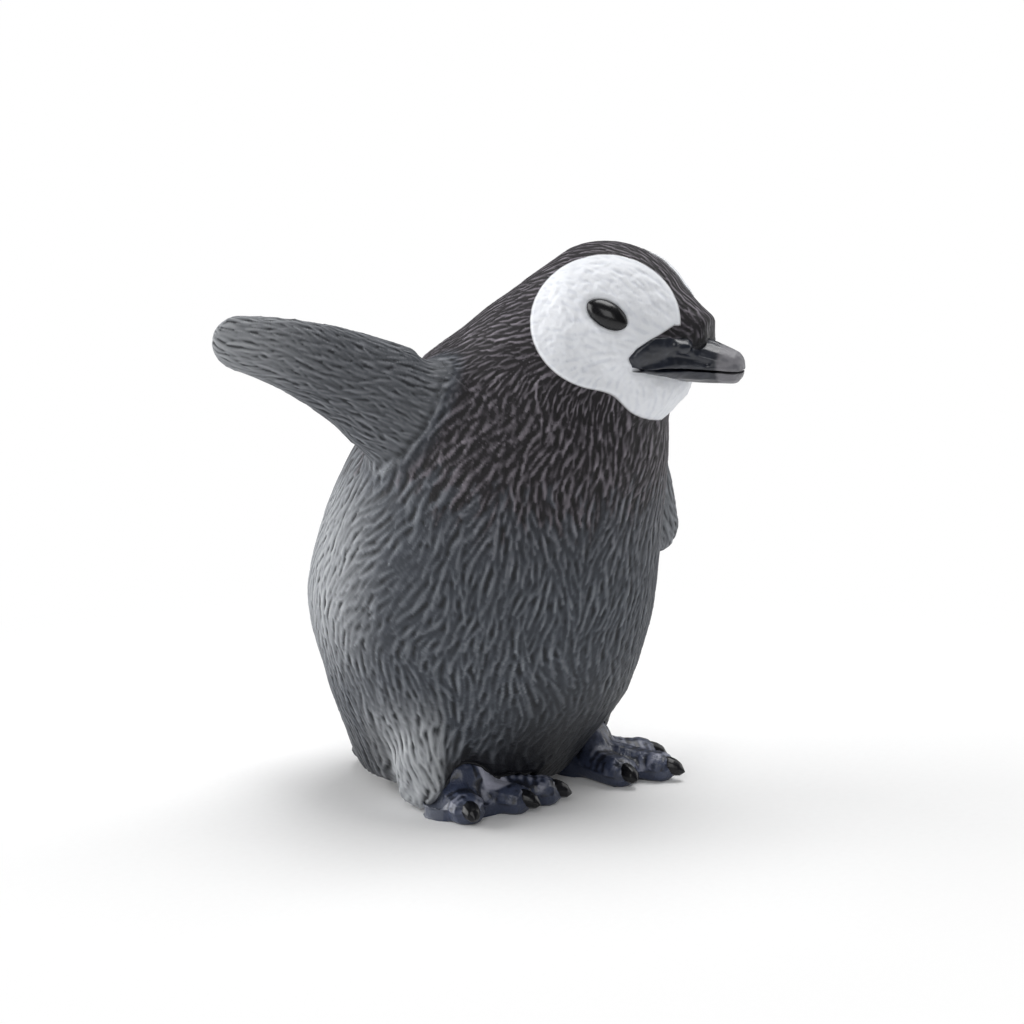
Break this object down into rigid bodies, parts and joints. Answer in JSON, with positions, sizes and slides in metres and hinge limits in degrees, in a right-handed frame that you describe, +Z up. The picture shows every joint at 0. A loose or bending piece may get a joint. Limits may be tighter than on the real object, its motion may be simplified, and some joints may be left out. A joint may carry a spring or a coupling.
{
  "type": "penguin chick figurine",
  "caption": "Standing penguin chick figurine with sculpted grey down, dark hood, white face, short black beak, webbed feet and one raised flipper.",
  "frame": {"origin": "middle of the box around the figure, on the ground under its soles", "axes": "+Z up, -Y the way the body faces, +X towards the chick's left side"},
  "size_m": [0.0774, 0.0634, 0.0783],
  "materials": {
    "grey_down": "matte painted vinyl, mid grey with lighter ridges",
    "dark_down": "matte painted vinyl, dark brown-black",
    "flipper_down": "matte painted vinyl, dark grey",
    "white_down": "matte painted vinyl, cool white",
    "black_gloss": "gloss black paint",
    "beak": "gloss black paint with a grey tip",
    "foot_skin": "semi-gloss blue-black paint, wiped back to grey on the ridges"
  },
  "bodies": {
    "root": {"torso": "grey_down", "head": "dark_down", "face_mask": "white_down", "eye_right": "black_gloss", "eye_left": "black_gloss", "upper_beak": "beak", "lower_beak": "beak", "flipper_right": "flipper_down", "flipper_left": "flipper_down", "foot_right": "foot_skin", "foot_left": "foot_skin", "claw_right_inner": "black_gloss", "claw_right_middle": "black_gloss", "claw_right_outer": "black_gloss", "claw_left_inner": "black_gloss", "claw_left_middle": "black_gloss", "claw_left_outer": "black_gloss"}
  },
  "joints": []
}
